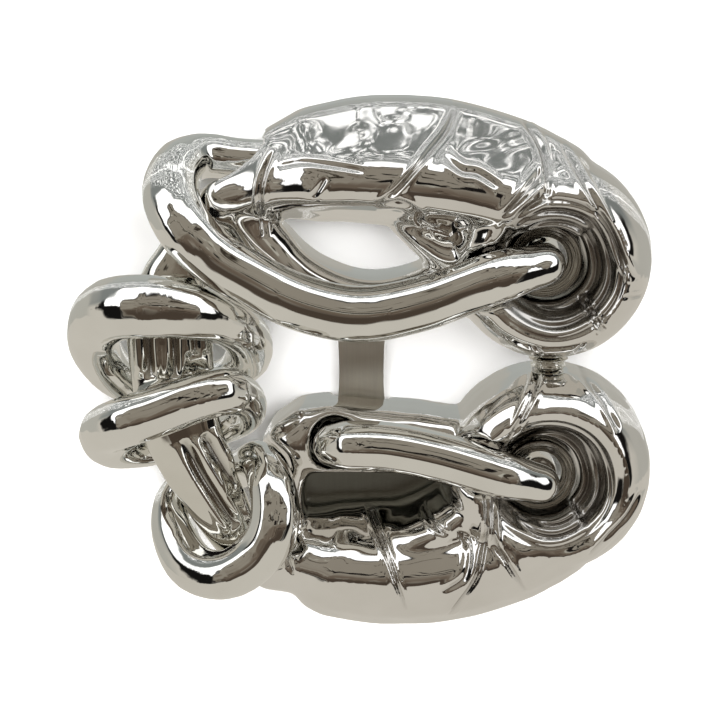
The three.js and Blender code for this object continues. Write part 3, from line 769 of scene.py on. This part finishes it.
# %% What is in the room
NEAR_BOARD = "#ccc7bd"
figure = patch(0.0, -0.02, 0.41, 0.355, 0.09)
layers = [
    # Walls: grey on the far side, paler beyond it and at the sides.
    ("#838785", 1.0, band(above, 0.17, FAR, 0.17)),
    ("#b2b5b1", 1.0, band(above, 1.25, FAR, 0.25)),
    ("#b8b6ae", 1.0, band(aside, 0.92, FAR, 0.18)),
    # Broken white lights on the far side: one line of beads, and scattered dashes.
    ("#ffffff", 1.5, band(above, 0.83, 0.87, 0.01), speckle(36, 2, 0.44, 0.47)),
    ("#ffffff", 1.5, band(above, 0.56, 1.3, 0.03), speckle(26, 85, 0.54, 0.56)),
    # Dark rim, bright arch, and the dark warm shape behind the camera, with its own blotches.
    (
        "#161514",
        1.0,
        patch(0.0, 0.08, 0.76, 0.50),
        band(above, -FAR, 0.30, 0.1),
        band(aside, 0.37, FAR, 0.07),
    ),
    ("#ffffff", 1.7, patch(0.0, 0.19, 0.62, 0.34)),
    ("#201d1b", 1.0, patch(0.0, -0.02, 0.44, 0.385, 0.09)),
    ("#938c80", 1.0, patch(0.0, -0.02, 0.42, 0.365, 0.09)),
    ("#6b5f53", 1.0, figure, band(above, -FAR, -0.07, 0.09), speckle(4, 5, 0.40, 0.50)),
    ("#b5b2a6", 1.0, figure, speckle(6, 10, 0.60, 0.66)),
    ("#3a332b", 1.0, figure, speckle(5, 13, 0.58, 0.62)),
    ("#4a4037", 1.0, figure, band(above, -FAR, -0.215, 0.045)),
    ("#1b1817", 1.0, patch(0.03, 0.06, 0.17, 0.10), speckle(9, 14, 0.52, 0.56)),
    # The near side of the board, up to a sharp edge under the dark shape.
    (NEAR_BOARD, 1.0, band(above, -FAR, -0.345, 0.015)),
]
walls = linear(NEAR_BOARD)
for hex_colour, strength, *masks in layers:
    walls = lay(walls, hex_colour, strength, *masks)

glow = add_node(sky, "ShaderNodeBackground", Color=walls, Strength=1.0)
add_node(sky, "ShaderNodeOutputWorld", Surface=(glow, "Background"))
print("room:", len(layers), "layers,", len(sky.nodes), "nodes")


# %% Lamps for the board
LAMP_SIZE = 0.8
LAMP_WATTS = 9.0


def soft_lamp(name, place, size, watts):
    """A large soft lamp that lights the board but doesn't show in the metal."""
    lamp = bpy.data.lights.new(name, "AREA")
    lamp.shape = "DISK"
    lamp.size = size
    lamp.energy = watts
    holder = bpy.data.objects.new(name, lamp)
    bpy.context.scene.collection.objects.link(holder)
    holder.location = place
    holder.rotation_euler = Vector(place).to_track_quat("Z", "Y").to_euler()
    holder.visible_glossy = False


lamp_places = {
    "lamp_left": (-0.5, 0.3, 0.8),
    "lamp_right": (0.5, 0.3, 0.8),
    "lamp_front": (0.0, -0.6, 0.8),
}
for name, place in lamp_places.items():
    soft_lamp(name, place, LAMP_SIZE, LAMP_WATTS)
print("lamps:", len(lamp_places), "of", LAMP_WATTS, "W")

# %% [markdown]
# ## Camera
# It looks down from a hand's length away, tipped a little, so the north slopes show and the
# windows' inner walls show on one side only.

# %% Camera
CAMERA_DISTANCE = 0.22
CAMERA_AIM = Vector((0.0, 0.0, 0.006))
camera_data = bpy.data.cameras.new("camera")
camera_data.lens = 100.0
camera_data.sensor_width = 36.0
camera_data.clip_start = 0.01
camera = bpy.data.objects.new("camera", camera_data)
bpy.context.scene.collection.objects.link(camera)
back_off = Vector((0, math.sin(CAMERA_TILT), math.cos(CAMERA_TILT)))
camera.location = CAMERA_AIM + CAMERA_DISTANCE * back_off
camera.rotation_euler = (-CAMERA_TILT, 0, 0)
bpy.context.scene.camera = camera
bpy.context.scene.view_settings.view_transform = "Standard"
print("camera at", [round(c, 3) for c in camera.location])
